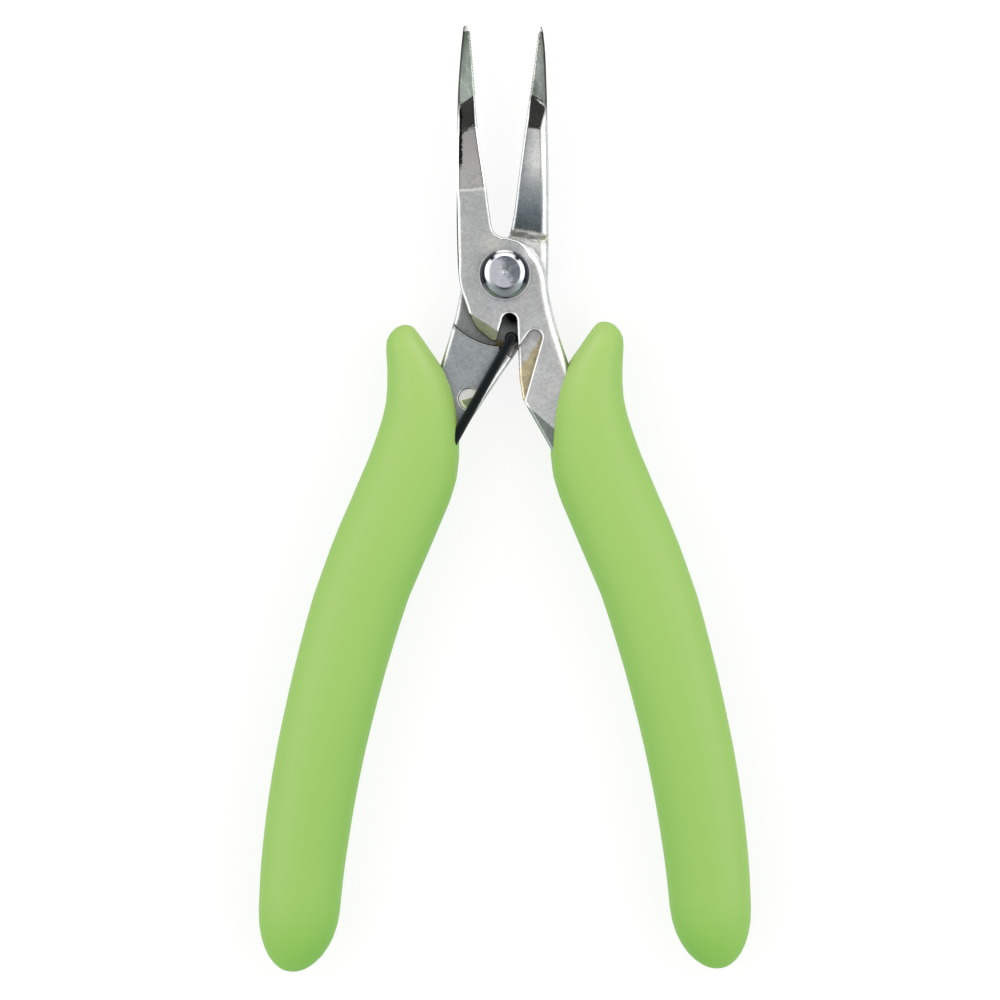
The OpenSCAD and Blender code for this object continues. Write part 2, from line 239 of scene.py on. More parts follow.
def front_tints_and_painted_light(add, colour, place, across, along, up):
    """A painted highlight at the foot of the slope, painted highlights and dark reflections on the jaw and face,
    painted reflections on the ground facets, and a tan pocket floor, mottled darker.
    """
    wobble = remap(add, noise(add, place, 900.0, 2.0), -0.5 * MM, 0.5 * MM)
    # Painted highlight along the crease at the foot of the slope.
    line = within(add, math_node(add, "ADD", along, math_node(add, "MULTIPLY", wobble, 0.6)),
                  13.15 * MM, 13.6 * MM, 0.2 * MM)
    colour = tinted(add, colour, line, (1.3, 1.27, 1.2))
    # Painted highlight on the slope, mottled.
    slope = within(add, along, 13.6 * MM, 22.4 * MM, 0.6 * MM)
    mottle = remap(add, noise(add, place, 1100.0, 3.0, 0.6), 0.65, 1.0, 0.3, 0.7)
    colour = tinted(add, colour, math_node(add, "MULTIPLY", slope, mottle), (1.75, 1.74, 1.72))
    # Painted dark reflection along the jaw's left edge.
    fall = math_node(add, "ADD", math_node(add, "MULTIPLY", along, -0.092), math_node(
        add, "MULTIPLY", remap(add, noise(add, place, 1500.0, 3.0, 0.7), -0.9, 0.9), 0.6 * MM))
    streak = remap(add, math_node(add, "ADD", across, fall), 1.0, 0.0, -6.55 * MM, -6.4 * MM)
    streak = math_node(add, "MULTIPLY", streak, within(add, along, 17 * MM, 26 * MM, 0.6 * MM))
    streak = math_node(add, "MULTIPLY", streak, facing_up(add, 0.93, 0.97))
    colour = tinted(add, colour, streak, (0.05, 0.05, 0.05))
    # Painted highlights on the face beside the rivet.
    colour = tinted(add, colour, spot(add, across, along, JAW_FRONT, -1.6, 5.0, 0.3, 2.4), (1.28, 1.25, 1.18))
    colour = tinted(add, colour, spot(add, across, along, JAW_FRONT, 3.9, 3.3, 0.4, 1.9), (1.6, 1.58, 1.55))
    # Painted highlight along the jaw's inner edge.
    inner = math_node(add, "ADD", across, math_node(add, "MULTIPLY", along, 0.1))
    inner = math_node(add, "MULTIPLY", remap(add, inner, 0.0, 1.0, -2.6 * MM, -0.6 * MM),
                      within(add, along, 17 * MM, 22.2 * MM, 1.0 * MM))
    colour = tinted(add, colour, inner, (1.8, 1.8, 1.77))
    # Painted shadow on the steep left bevel near the rivet.
    normal = add("ShaderNodeSeparateXYZ", {0: add("ShaderNodeNewGeometry").outputs["Normal"]}).outputs
    steep = math_node(add, "MULTIPLY", within(add, normal["Z"], 0.1, 0.76, 0.05),
                      remap(add, normal["X"], 1.0, 0.0, -0.7, -0.5))
    colour = tinted(add, colour, math_node(add, "MULTIPLY", steep, within(add, along, 0 * MM, 11 * MM, 2 * MM)),
                    (0.1, 0.1, 0.1))
    hilt = remap(add, along, 1.0, 0.0, -16 * MM, -3 * MM)
    colour = tinted(add, colour, hilt, (1.18, 1.18, 1.17))
    floor = within(add, up, 1.5 * MM, 1.78 * MM, 0.03 * MM)
    rim = math_node(add, "ADD", math_node(add, "SUBTRACT", math_node(add, "MULTIPLY", across, 1.1), along),
                    wobble)
    low = remap(add, rim, 0.0, 1.0, 15.2 * MM, 15.7 * MM)
    wall = math_node(add, "ADD", math_node(add, "SUBTRACT", across, math_node(add, "MULTIPLY", along, 0.37)),
                     math_node(add, "MULTIPLY", wobble, 0.4))
    low = math_node(add, "MAXIMUM", low, remap(add, wall, 0.0, 1.0, 8.05 * MM, 8.3 * MM))
    inside_pocket = within(add, along, -20.5 * MM, -8.2 * MM, 0.1 * MM)
    floor = math_node(add, "MULTIPLY", floor, inside_pocket)
    # The pocket floor is mottled darker, and tan in its lower part.
    pocket_mottle = math_node(add, "MULTIPLY", floor, remap(add, noise(add, place, 900.0, 4.0, 0.7), 0, 0.8, 0.45, 0.6))
    colour = tinted(add, colour, pocket_mottle, (0.78, 0.77, 0.76))
    colour = tinted(add, colour, math_node(add, "MULTIPLY", floor, low), (0.98, 0.85, 0.55))
    # Painted dark olive reflection on the lobe's ground facet.
    lobe = math_node(add, "MULTIPLY", right_of(add, across, along, JAW_FRONT, LOBE_A, LOBE_B),
                     remap(add, across, 1.0, 0.0, -1.6 * MM, -1.4 * MM))
    lobe = math_node(add, "MULTIPLY", lobe, remap(add, along, 0.0, 1.0, -12.2 * MM, -12 * MM))
    colour = tinted(add, colour, lobe, (0.28, 0.30, 0.205))
    # Painted dark reflection on the handle's small facet.
    nick = math_node(add, "MULTIPLY", right_of(add, across, along, JAW_FRONT, NICK_A, NICK_B),
                     remap(add, along, 1.0, 0.0, -20.4 * MM, -20.2 * MM))
    return tinted(add, colour, nick, (0.36, 0.41, 0.38))


def rear_tints_and_painted_light(add, colour, place, across, along, up):
    """A ledge with a painted warm reflection, painted shade on the slope above it, painted highlights and dark
    reflections on the jaw, a joint face with painted shade below the pivot, a painted highlight above it and a
    painted shadow in the slot, and painted light in the peg hole.
    """
    level = facing_up(add, 0.93, 0.97)
    rough = remap(add, noise(add, place, 800.0, 4.0, 0.7), -0.35 * MM, 0.35 * MM)
    height = math_node(add, "ADD", along, rough)
    # Painted warm reflection on the ledge.
    ledge = within(add, height, 5.6 * MM, 7.3 * MM, 0.3 * MM)
    colour = tinted(add, colour, ledge, (0.8, 0.775, 0.73))
    # Painted shade on the slope above the ledge, fading out higher up.
    fade = remap(add, height, 1.0, 0.0, 10.5 * MM, 17.5 * MM)
    slope = math_node(add, "MULTIPLY", remap(add, height, 0.0, 1.0, 7.1 * MM, 7.5 * MM), fade)
    colour = tinted(add, colour, math_node(add, "MULTIPLY", slope, level), (0.36, 0.43, 0.47))
    # Painted highlight on the jaw's level faces.
    bright = within(add, along, 15.5 * MM, 22.6 * MM, 3.0 * MM)
    colour = tinted(add, colour, math_node(add, "MULTIPLY", bright, level), (1.5, 1.48, 1.44))
    shaded = math_node(add, "MULTIPLY", within(add, along, 14.5 * MM, 22.6 * MM, 2.0 * MM),
                       remap(add, math_node(add, "ADD", across, rough), 1.0, 0.0, 0.1 * MM, 1.9 * MM))
    colour = tinted(add, colour, math_node(add, "MULTIPLY", shaded, level), (0.5, 0.51, 0.52))
    # Painted dark reflection on the tip.
    colour = tinted(add, colour, within(add, along, 27 * MM, 37.7 * MM, 0.2 * MM), (0.66, 0.64, 0.65))
    # Painted highlight along the jaw's inner edge.
    inner = math_node(add, "MULTIPLY", remap(add, across, 1.0, 0.0, 0.3 * MM, 1.3 * MM),
                      within(add, along, 30.5 * MM, 37.7 * MM, 1.5 * MM))
    colour = tinted(add, colour, inner, (1.7, 1.68, 1.7))
    handle = within(add, up, 0.6 * MM, 1.1 * MM, 0.05 * MM)
    handle = math_node(add, "MULTIPLY", handle, remap(add, along, 1.0, 0.0, -6 * MM, -4 * MM))
    colour = tinted(add, colour, math_node(add, "MULTIPLY", handle, level), (0.71, 0.755, 0.78))
    out = add("ShaderNodeVectorMath", {0: add("ShaderNodeCombineXYZ", {"X": across, "Y": along}).outputs[0]},
              operation="LENGTH").outputs["Value"]
    # Painted shade on the recess wall round the pivot, below it.
    arc = math_node(add, "MULTIPLY", within(add, out, 10.7 * MM, 11.4 * MM, 0.1 * MM), math_node(
        add, "MULTIPLY", math_node(add, "SUBTRACT", 1.0, level), remap(add, along, 1.0, 0.0, -1 * MM, 0 * MM)))
    colour = tinted(add, colour, arc, (0.5, 0.5, 0.5))
    # On the joint face: painted shade below the pivot, a painted highlight above it and a painted shadow in the
    # slot.
    joint = within(add, up, -0.1 * MM, 0.1 * MM, 0.02 * MM)
    low = math_node(add, "MULTIPLY", joint, remap(add, along, 1.0, 0.0, -2 * MM, 0 * MM))
    colour = tinted(add, colour, low, (0.60, 0.60, 0.60))
    top = math_node(add, "MULTIPLY", joint, remap(add, along, 0.0, 1.0, 0 * MM, 2 * MM))
    colour = tinted(add, colour, top, (1.7, 1.69, 1.66))
    slot = math_node(add, "MULTIPLY", low, spot(add, across, along, JAW_REAR, 1.5, -6.1, 1.0, 3.2))
    colour = tinted(add, colour, slot, (0.01, 0.01, 0.01))
    corner = spot(add, across, along, JAW_REAR, -0.75, -10.8, 0.5, 1.2)
    colour = tinted(add, colour, math_node(add, "MULTIPLY", corner, remap(add, up, 1.0, 0.0, 0.8 * MM, 0.95 * MM)),
                    (0.55, 0.42, 0.22))
    # In the peg hole: painted light where the floor shows through, a painted shadow across its lower part and a
    # painted highlight on its rim.
    well = math_node(add, "MULTIPLY", spot(add, across, along, JAW_REAR, *PEG, 1.65, 1.7),
                     remap(add, up, 1.0, 0.0, -0.3 * MM, -0.2 * MM))
    colour = tinted(add, colour, well, (5.6, 6.0, 3.8))
    wedge = right_of(add, across, along, JAW_REAR, PEG + (-1.6, -0.3), PEG + (1.6, 0.65))
    colour = tinted(add, colour, math_node(add, "MULTIPLY", well, wedge), (0.175, 0.19, 0.165))
    lit = math_node(add, "SUBTRACT", 1.0, spot(add, across, along, JAW_REAR, *(PEG + (0.3, 0.15)), 1.42, 1.55))
    left = remap(add, across, 1.0, 0.0, (PEG[0] + 2.4) * MM, (PEG[0] + 3.2) * MM)
    return tinted(add, colour, math_node(add, "MULTIPLY", math_node(add, "MULTIPLY", well, lit), left),
                  (4.0, 4.0, 4.0))


def polished(name):
    """Polished rivet steel, its flat top turned, with painted reflections: two tones across the flat, highlight
    spots, and light and dark arcs round the dome.
    """
    material, tree, shader, add = new_material(name)
    place, across, along, up = about_pivot(add)
    along = math_node(add, "SUBTRACT", along, RIVET_OFFSET[1] * MM)
    across = math_node(add, "SUBTRACT", across, RIVET_OFFSET[0] * MM)
    centred = add("ShaderNodeCombineXYZ", {"X": across, "Y": along}).outputs[0]
    rings = add("ShaderNodeTexWave", {"Vector": centred, "Scale": 800.0, "Distortion": 2.0, "Detail": 2.0,
                                      "Detail Scale": 2.0},
                wave_type="RINGS", rings_direction="Z").outputs["Fac"]
    radius = add("ShaderNodeVectorMath", {0: centred}, operation="LENGTH").outputs["Value"]
    face = math_node(add, "MULTIPLY", remap(add, radius, 1.0, 0.0, 2.36 * MM, 2.42 * MM),
                     remap(add, up, 0.0, 1.0, 3.8 * MM, 3.9 * MM))
    scratch = noise(add, place, 1700.0, 5.0, 0.7)
    slanted = math_node(add, "ADD", math_node(add, "MULTIPLY", across, 0.9), math_node(add, "MULTIPLY", along, 0.4))
    slanted = math_node(add, "ADD", slanted, remap(add, scratch, -0.9 * MM, 0.9 * MM))
    side = remap(add, slanted, 0.0, 1.0, -0.2 * MM, 0.75 * MM)
    # Painted reflection: the flat lighter on one side and darker on the other, mottled.
    shade = math_node(add, "MULTIPLY", face, math_node(add, "ADD", math_node(add, "MULTIPLY", side, 0.85),
                                                       remap(add, scratch, -0.2, 0.25, 0.3, 0.7)))
    metal = add("ShaderNodeMix", {"Factor": shade, 6: (0.74, 0.76, 0.84, 1), 7: (0.17, 0.20, 0.23, 1)},
                data_type="RGBA").outputs[2]
    # Painted highlight spots on the flat.
    for x, y in ((-0.35, 0.35), (-0.1, -0.1), (-0.6, 0.75)):
        metal = tinted(add, metal, spot(add, across, along, 0.0, x, y, 0.03, 0.2), (1.6, 1.6, 1.6))
    # Painted reflections round the dome: a light arc and dark arcs on its upper side, darker on its lower side, and
    # a dark line at the flat's lower edge.
    ring = math_node(add, "MULTIPLY", remap(add, radius, 0.0, 1.0, 2.5 * MM, 2.6 * MM),
                     remap(add, up, 0.0, 1.0, 2.6 * MM, 2.7 * MM))
    toward = math_node(add, "DIVIDE", along, math_node(add, "MAXIMUM", radius, 0.3 * MM))
    outer = math_node(add, "MULTIPLY", remap(add, radius, 0.0, 1.0, 2.95 * MM, 3.12 * MM),
                      remap(add, toward, 1.0, 0.0, 0.90, 0.97))
    patch = within(add, toward, 0.64, 0.84, 0.06)
    upper = math_node(add, "MULTIPLY", math_node(add, "MAXIMUM", outer, patch),
                      remap(add, toward, 0.0, 1.0, -0.75, -0.45))
    metal = tinted(add, metal, math_node(add, "MULTIPLY", ring, remap(add, toward, 0.0, 1.0, 0.84, 0.9)),
                   (1.7, 1.7, 1.68))
    metal = tinted(add, metal, math_node(add, "MULTIPLY", upper, ring), (0.035, 0.04, 0.042))
    lower = math_node(add, "MULTIPLY", ring, remap(add, toward, 1.0, 0.0, -0.65, -0.25))
    metal = tinted(add, metal, lower, (0.27, 0.30, 0.28))
    rim = math_node(add, "MULTIPLY", within(add, radius, 2.36 * MM, 2.5 * MM, 0.05 * MM),
                    remap(add, toward, 1.0, 0.0, -0.5, -0.2))
    metal = tinted(add, metal, rim, (0.2, 0.2, 0.2))
    tree.links.new(metal, shader.inputs["Base Color"])
    tree.links.new(math_node(add, "ADD", math_node(add, "MULTIPLY", face, 0.20), 0.04),
                   shader.inputs["Roughness"])
    bump = add("ShaderNodeBump", {"Height": rings, "Distance": 0.00001,
                                  "Strength": math_node(add, "MULTIPLY", face, 0.5)})
    tree.links.new(bump.outputs["Normal"], shader.inputs["Normal"])
    shader.inputs["Metallic"].default_value = 1.0
    return material


def black_wire(name):
    """Black oxide spring wire: dark, with a faint painted glint along each side."""
    material, tree, shader, add = new_material(name)
    place = add("ShaderNodeTexCoord").outputs["Object"]
    grain = noise(add, place, 3000.0, 3.0)
    colour = add("ShaderNodeMix", {"Factor": grain, 6: (0.003, 0.005, 0.0055, 1), 7: (0.008, 0.012, 0.013, 1)},
                 data_type="RGBA").outputs[2]
    # Painted glint: a faint line along each side, by the angle to the view.
    facing = add("ShaderNodeLayerWeight", {"Blend": 0.5}).outputs["Facing"]
    glint = math_node(add, "MINIMUM", remap(add, facing, 0.0, 1.0, 0.30, 0.34),
                      remap(add, facing, 1.0, 0.0, 0.37, 0.41))
    colour = add("ShaderNodeMix", {"Factor": glint, 6: colour, 7: (0.06, 0.08, 0.075, 1)},
                 data_type="RGBA").outputs[2]
    tree.links.new(colour, shader.inputs["Base Color"])
    tree.links.new(remap(add, grain, 0.30, 0.45), shader.inputs["Roughness"])
    bump = add("ShaderNodeBump", {"Height": grain, "Strength": 0.2, "Distance": 0.00003})
    tree.links.new(bump.outputs["Normal"], shader.inputs["Normal"])
    shader.inputs["Specular IOR Level"].default_value = 0.07
    return material


def soft_green(name):
    """Matt light green soft plastic with a very fine moulded grain."""
    material, tree, shader, add = new_material(name)
    place = add("ShaderNodeTexCoord").outputs["Object"]
    grain = noise(add, place, 2600.0, 3.0, 0.6)
    cloud = noise(add, place, 60.0, 2.0)
    colour = add("ShaderNodeMix", {"Factor": cloud, 6: (0.192, 0.418, 0.071, 1), 7: (0.208, 0.434, 0.081, 1)},
                 data_type="RGBA").outputs[2]
    height = add("ShaderNodeSeparateXYZ", {0: place}).outputs["Y"]
    colour = tinted(add, colour, remap(add, height, 1.0, 0.0, -69 * MM, -61 * MM), (0.86, 0.97, 0.78))
    tree.links.new(colour, shader.inputs["Base Color"])
    tree.links.new(remap(add, grain, 0.46, 0.60), shader.inputs["Roughness"])
    bump = add("ShaderNodeBump", {"Height": grain, "Strength": 0.18, "Distance": 0.00004})
    tree.links.new(bump.outputs["Normal"], shader.inputs["Normal"])
    shader.inputs["Specular IOR Level"].default_value = 0.3
    return material


# ---------------------------------------------------------------- mesh helpers

def make_object(name, vertices_mm, faces, material, smooth_angle=40):
    """A mesh object from millimetre vertices, shaded smooth except across sharp edges."""
    mesh = bpy.data.meshes.new(name)
    mesh.from_pydata([tuple(v) for v in np.asarray(vertices_mm) * MM], [], faces)
    mesh.validate()
    mesh.shade_smooth()
    mesh.set_sharp_from_angle(angle=math.radians(smooth_angle))
    mesh.materials.append(material)
    made = bpy.data.objects.new(name, mesh)
    bpy.context.scene.collection.objects.link(made)
    return made


def welded(node):
    """A CAD node's mesh, welded and in triangles, in millimetres."""
    bm = bmesh.new()
    bm.from_mesh(frame["nodes"][node].data)
    bmesh.ops.scale(bm, vec=(1 / MM,) * 3, verts=bm.verts)
    bmesh.ops.remove_doubles(bm, verts=bm.verts, dist=1e-3)
    bmesh.ops.triangulate(bm, faces=bm.faces)
    bm.normal_update()
    return bm


def nearest(points, a, b):
    """Distance of each point from the nearest segment a-b, that segment's number, and the nearest point."""
    if not len(points):
        return np.zeros(0), np.zeros(0, int), np.zeros((0, 2))
    finder = KDTree(len(a))
    for i, (x, y) in enumerate((a + b) / 2):
        finder.insert((x, y, 0), i)
    finder.balance()
    some = min(5, len(a))
    near = np.array([[found[1] for found in finder.find_n((x, y, 0), some)] for x, y in points])
    ab = (b - a)[near]
    squared = np.maximum((ab ** 2).sum(2), 1e-12)
    t = np.clip(((points[:, None] - a[near]) * ab).sum(2) / squared, 0, 1)
    foot = a[near] + t[..., None] * ab
    gap = np.hypot(points[:, None, 0] - foot[..., 0], points[:, None, 1] - foot[..., 1])
    best = gap.argmin(1)
    rows = np.arange(len(points))
    return gap[rows, best], near[rows, best], foot[rows, best]


def inside(points, a, b):
    """Whether each point is inside the loops made of segments a-b."""
    found = np.zeros(len(points), bool)
    for start in range(0, len(points), 1500):
        p = points[start:start + 1500]
        y0, y1 = a[:, 1], b[:, 1]
        spans = (y0[None] > p[:, 1:2]) != (y1[None] > p[:, 1:2])
        rise = np.where(np.abs(y1 - y0) < 1e-12, 1e-12, y1 - y0)
        x = a[:, 0] + (p[:, 1:2] - y0) / rise * (b[:, 0] - a[:, 0])
        found[start:start + 1500] = (spans & (p[:, 0:1] < x)).sum(1) % 2 == 1
    return found


# ---------------------------------------------------------------- levers

def rim_edges(bm, tree, up):
    """Where walls meet the front (up 1) or back (up -1): outline segments, steps inside it, and creases."""
    outline, steps, creases = [], [], []
    for edge in bm.edges:
        if len(edge.link_faces) != 2:
            continue
        one, two = edge.link_faces
        heights = one.normal.z * up, two.normal.z * up
        ends = [np.array(v.co[:2]) for v in edge.verts]
        if np.linalg.norm(ends[0] - ends[1]) < 1e-4:
            continue
        if min(heights) > 0.15:
            if edge.calc_face_angle(0) > math.radians(1.5):
                creases.append(ends)
            continue
        wall = one if abs(heights[0]) < 0.1 else two
        if abs(wall.normal.z) > 0.1 or max(heights) < 0.15:
            continue
        middle = (edge.verts[0].co + edge.verts[1].co) / 2
        out = Vector((wall.normal.x, wall.normal.y, 0)).normalized()
        probe = middle + out * 0.04
        probe.z = 60 * up
        hit = tree.ray_cast(probe, Vector((0, 0, -up)))[0]
        if hit is None:
            outline.append(ends)
        elif hit.z * up < middle.z * up - 0.1:
            steps.append(ends + [np.array(out[:2])])
    return outline, steps, creases


def chained(segments):
    """Closed loops of points from loose segments that share ends."""
    def key(p):
        return tuple(np.round(p, 2))
    ends = {}
    for a, b in segments:
        ends.setdefault(key(a), []).append((key(b), b))
        ends.setdefault(key(b), []).append((key(a), a))
    loops, used = [], set()
    for start in sorted(ends):
        if start in used:
            continue
        loop, here, before = [start], start, None
        used.add(start)
        while True:
            ahead = [k for k, _ in ends[here] if k != before and (k not in used or k == start)]
            ahead = [k for k in ahead if k != start or len(loop) > 2]
            fresh = [k for k in ahead if k != start] or ahead
            if not fresh or fresh[0] == start:
                break
            before, here = here, fresh[0]
            used.add(here)
            loop.append(here)
        if len(loop) > 5:
            loops.append(np.array(loop, float))
    return loops


def resampled(loop, step_at, corner=22, closed=True):
    """A line with its gentle bends made into smooth curves, in steps of about step_at(point)."""
    count = len(loop)
    ahead = np.roll(loop, -1, 0) - loop
    length = np.hypot(*ahead.T)
    unit = ahead / length[:, None]
    back = np.roll(unit, 1, 0)
    turn = np.degrees(np.arccos(np.clip((unit * back).sum(1), -1, 1)))
    if not closed:
        turn[0] = turn[-1] = 180
    before = np.roll(length, 1)
    tangent = back * length[:, None] + unit * before[:, None]
    tangent /= np.hypot(*tangent.T)[:, None]
    points = []
    for i in range(count if closed else count - 1):
        j = (i + 1) % count
        straight = length[i] > 2.0
        start = unit[i] if straight or turn[i] > corner else tangent[i]
        end = unit[i] if straight or turn[j] > corner else tangent[j]
        parts = max(1, int(round(length[i] / step_at(loop[i]))))
        for t in np.arange(parts) / parts:
            points.append((2 * t**3 - 3 * t**2 + 1) * loop[i] + (t**3 - 2 * t**2 + t) * start * length[i]
                          + (3 * t**2 - 2 * t**3) * loop[j] + (t**3 - t**2) * end * length[i])
    return np.array(points if closed else points + [loop[-1]])


def area(loop):
    x, y = loop.T
    return (x * np.roll(y, -1) - y * np.roll(x, -1)).sum() / 2


def drop_at(gap, wide, deep):
    """How far a rounded edge has fallen at a distance from the edge."""
    t = np.clip(1 - gap / wide, 0, 1)
    return deep * (1 - np.sqrt(1 - t * t))


def strings(segments):
    """Open or closed runs of points from loose (a, b, out) segments, each with its out side on the left."""
    def key(p):
        return tuple(np.round(p, 2))
    segments = [s for s in segments if key(s[0]) != key(s[1])]
    ends = {}
    for i, (a, b, _) in enumerate(segments):
        ends.setdefault(key(a), []).append(i)
        ends.setdefault(key(b), []).append(i)
    starts = sorted(k for k in ends if len(ends[k]) == 1) + sorted(ends)
    used, runs = set(), []
    for start in starts:
        here, run = start, [start]
        while True:
            ahead = [i for i in ends[here] if i not in used]
            if not ahead:
                break
            a, b, out = segments[ahead[0]]
            used.add(ahead[0])
            a, b = (a, b) if key(a) == here else (b, a)
            left = (b - a)[0] * out[1] - (b - a)[1] * out[0] > 0
            here = key(b)
            run.append(here)
        if len(run) > 1:
            runs.append((np.array(run, float) if left else np.array(run[::-1], float), start == here))
    return runs


def line_points(a, b, step):
    parts = max(1, int(math.ceil(np.hypot(*(np.array(b) - a)) / step)))
    return np.array(a) + (np.array(b) - a) * (np.arange(parts + 1) / parts)[:, None]


class Sheet:
    """The points and lines that a face's triangles are made from, kept inside its outline."""

    def __init__(self, rim, rim_lines):
        self.rim_a = rim
        self.rim_b = rim[[b for _, b in rim_lines]]
        self.points = [rim]
        self.lines = list(rim_lines)
        self.count = len(rim)

    def add(self, points, margin, lined=False):
        gap = nearest(points, self.rim_a, self.rim_b)[0]
        keep = inside(points, self.rim_a, self.rim_b) & (gap > margin)
        number = self.count + np.cumsum(keep) - 1
        if lined:
            self.lines += [(int(number[i]), int(number[i + 1])) for i in range(len(points) - 1)
                           if keep[i] and keep[i + 1]]
        self.points.append(points[keep])
        self.count += int(keep.sum())


def plate(name, node, material, wide_at, deep_share, shape, shape_lines):
    """A lever: the CAD solid's faces with all its edges rounded as by tumbling.

    wide_at(points) is the width of the rounding at each point, in mm; shape(points, height) may lower
    the front face and shape_lines are the lines where it bends."""
    bm = welded(node)
    tree = BVHTree.FromBMesh(bm)
    hidden = PIVOT[1] - 32
    outline, front_steps, front_creases = rim_edges(bm, tree, 1)
    _, back_steps, back_creases = rim_edges(bm, tree, -1)

    def step_at(p):
        return 0.2 if p[1] > hidden else 1.2

    loops = [resampled(loop, step_at) for loop in chained(outline)]
    loops.sort(key=lambda loop: -abs(area(loop)))
    loops = [loop if (area(loop) > 0) == (i == 0) else loop[::-1] for i, loop in enumerate(loops)]
    rim = np.concatenate(loops)
    normal = np.concatenate([inward(loop) for loop in loops])
    rim_lines, at = [], 0
    for loop in loops:
        rim_lines += [(at + i, at + (i + 1) % len(loop)) for i in range(len(loop))]
        at += len(loop)

    def side(up, steps, creases):
        """Vertices, triangles, heights and roundings of the front or back face."""
        sheet = Sheet(rim, rim_lines)
        rim_a, rim_b = sheet.rim_a, sheet.rim_b
        reach = wide_at(rim)
        for turn in (12, 24, 35, 46, 57, 68, 79, 90):
            gap = reach * (1 - math.cos(math.radians(turn)))
            ring = rim + normal * gap[:, None]
            far = nearest(ring, rim_a, rim_b)[0]
            ring = ring[far > gap * 0.97]
            sheet.add(ring, 0.01)
        ridge_a, ridge_b, ridge_out = [], [], []
        for run, closed in strings(steps):
            if closed:
                run = resampled(run[:-1], lambda p: 0.25)
                run = np.concatenate([run, run[:1]])
            else:
                run = resampled(run, lambda p: 0.25, closed=False)
            along = np.gradient(run, axis=0)
            along /= np.maximum(np.hypot(*along.T), 1e-9)[:, None]
            out = np.stack([-along[:, 1], along[:, 0]], 1)
            ridge_a.append(run[:-1])
            ridge_b.append(run[1:])
            ridge_out.append(out[:-1])
            for shift in (-0.36, -0.26, -0.17, -0.09, -0.03, 0.03, 0.2):
                sheet.add(run + out * shift, 0.04, lined=True)
        for a, b in creases + (shape_lines if up > 0 else []):
            sheet.add(line_points(a, b, 0.3), 0.05, lined=True)
        grid = filling(rim, hidden)
        if ridge_a:
            ridge_a, ridge_b, ridge_out = (np.concatenate(r) for r in (ridge_a, ridge_b, ridge_out))
            grid = grid[nearest(grid, ridge_a, ridge_b)[0] > 0.42]
        grid = grid[nearest(grid, rim_a, rim_b)[0] > wide_at(grid) + 0.08]
        sheet.add(grid, 0.05)
        made, _, triangles, source, _, _ = delaunay_2d_cdt(
            [Vector(p) for p in np.concatenate(sheet.points)], sheet.lines, [], 0, 1e-4, True)
        made = np.array([tuple(p) for p in made])
        triangles = np.array([t for t in triangles])
        triangles = triangles[inside(made[triangles].mean(1), rim_a, rim_b)]
        gap, which, _ = nearest(made, rim_a, rim_b)
        look = made + normal[which] * np.clip(0.035 - gap, 0, None)[:, None]
        height = np.zeros(len(made))
        for i, p in enumerate(look):
            hit = tree.ray_cast(Vector((p[0], p[1], 60.0 * up)), Vector((0, 0, -up)))[0]
            height[i] = hit.z if hit is not None else np.nan
        if up > 0:
            height = shape(made, height)
        wide = wide_at(made)
        fall = drop_at(gap, wide, wide * deep_share)
        if len(ridge_a):
            near, k, foot = nearest(made, ridge_a, ridge_b)
            above = ((made - foot) * ridge_out[k]).sum(1) < 0
            fall = np.maximum(fall, np.where(above, drop_at(near, 0.36, 0.3), 0))
        return made, triangles, height, fall, source

    front = side(1, front_steps, front_creases)
    back = side(-1, back_steps, back_creases)
    return join_sides(name, front, back, rim_lines, material, tree)


def inward(loop):
    """Unit normals of a loop's points, towards the material on its left."""
    along = np.roll(loop, -1, 0) - np.roll(loop, 1, 0)
    along /= np.maximum(np.hypot(*along.T), 1e-9)[:, None]
    return np.stack([-along[:, 1], along[:, 0]], 1)


def filling(rim, hidden):
    """A triangular grid of points over the loops' box, coarser where the grips hide it."""
    low, high = rim.min(0), rim.max(0)
    points = []
    for step, bottom, top in ((0.42, hidden, high[1]), (1.6, low[1], hidden)):
        rows = np.arange(bottom, top, step * 0.866)
        for i, y in enumerate(rows):
            x = np.arange(low[0] + (i % 2) * step / 2, high[0], step)
            points.append(np.stack([x, np.full(len(x), y)], 1))
    return np.concatenate(points)


def join_sides(name, front, back, rim_index, material, tree):
    """One closed mesh from a front, a back and the walls between their rims."""
    fm, ft, fh, ff, fs = front
    bm_, bt, bh, bf, bs = back
    count = max(max(e) for e in rim_index) + 1

    def rim_of(source):
        found = {}
        for i, sources in enumerate(source):
            for s in sources:
                if s < count:
                    found[s] = i
        return found

    fr, br = rim_of(fs), rim_of(bs)
    thick = np.array([fh[fr[i]] - bh[br[i]] for i in range(count)])

    def limited(made, height, fall, rim_map):
        """Keeps the two roundings from meeting in a thin part."""
        other = np.zeros(len(made))
        sign = 1 if made is fm else -1
        for i, p in enumerate(made):
            hit = tree.ray_cast(Vector((p[0], p[1], -60.0 * sign)), Vector((0, 0, sign)))[0]
            other[i] = hit.z if hit is not None else np.nan
        room = np.abs(height - other)
        for s, i in rim_map.items():
            room[i] = thick[s]
        room = np.where(np.isfinite(room), room, 1.0)
        cap = 0.42 * room
        return np.minimum(fall, cap)

    ff, bf = limited(fm, fh, ff, fr), limited(bm_, bh, bf, br)
    vertices = np.concatenate([np.column_stack([fm, fh - ff]), np.column_stack([bm_, bh + bf])])
    shift = len(fm)
    faces = [tuple(int(i) for i in t) for t in ft]
    faces += [tuple(int(i) + shift for i in t[::-1]) for t in bt]
    for a, b in rim_index:
        faces.append((fr[a], br[a] + shift, br[b] + shift, fr[b]))
    print(name, len(vertices), "vertices", len(faces), "faces,", int(np.isnan(vertices).any(1).sum()), "missed")
    return make_object(name, np.nan_to_num(vertices), faces, material)


# ---------------------------------------------------------------- turned parts, wire and grips

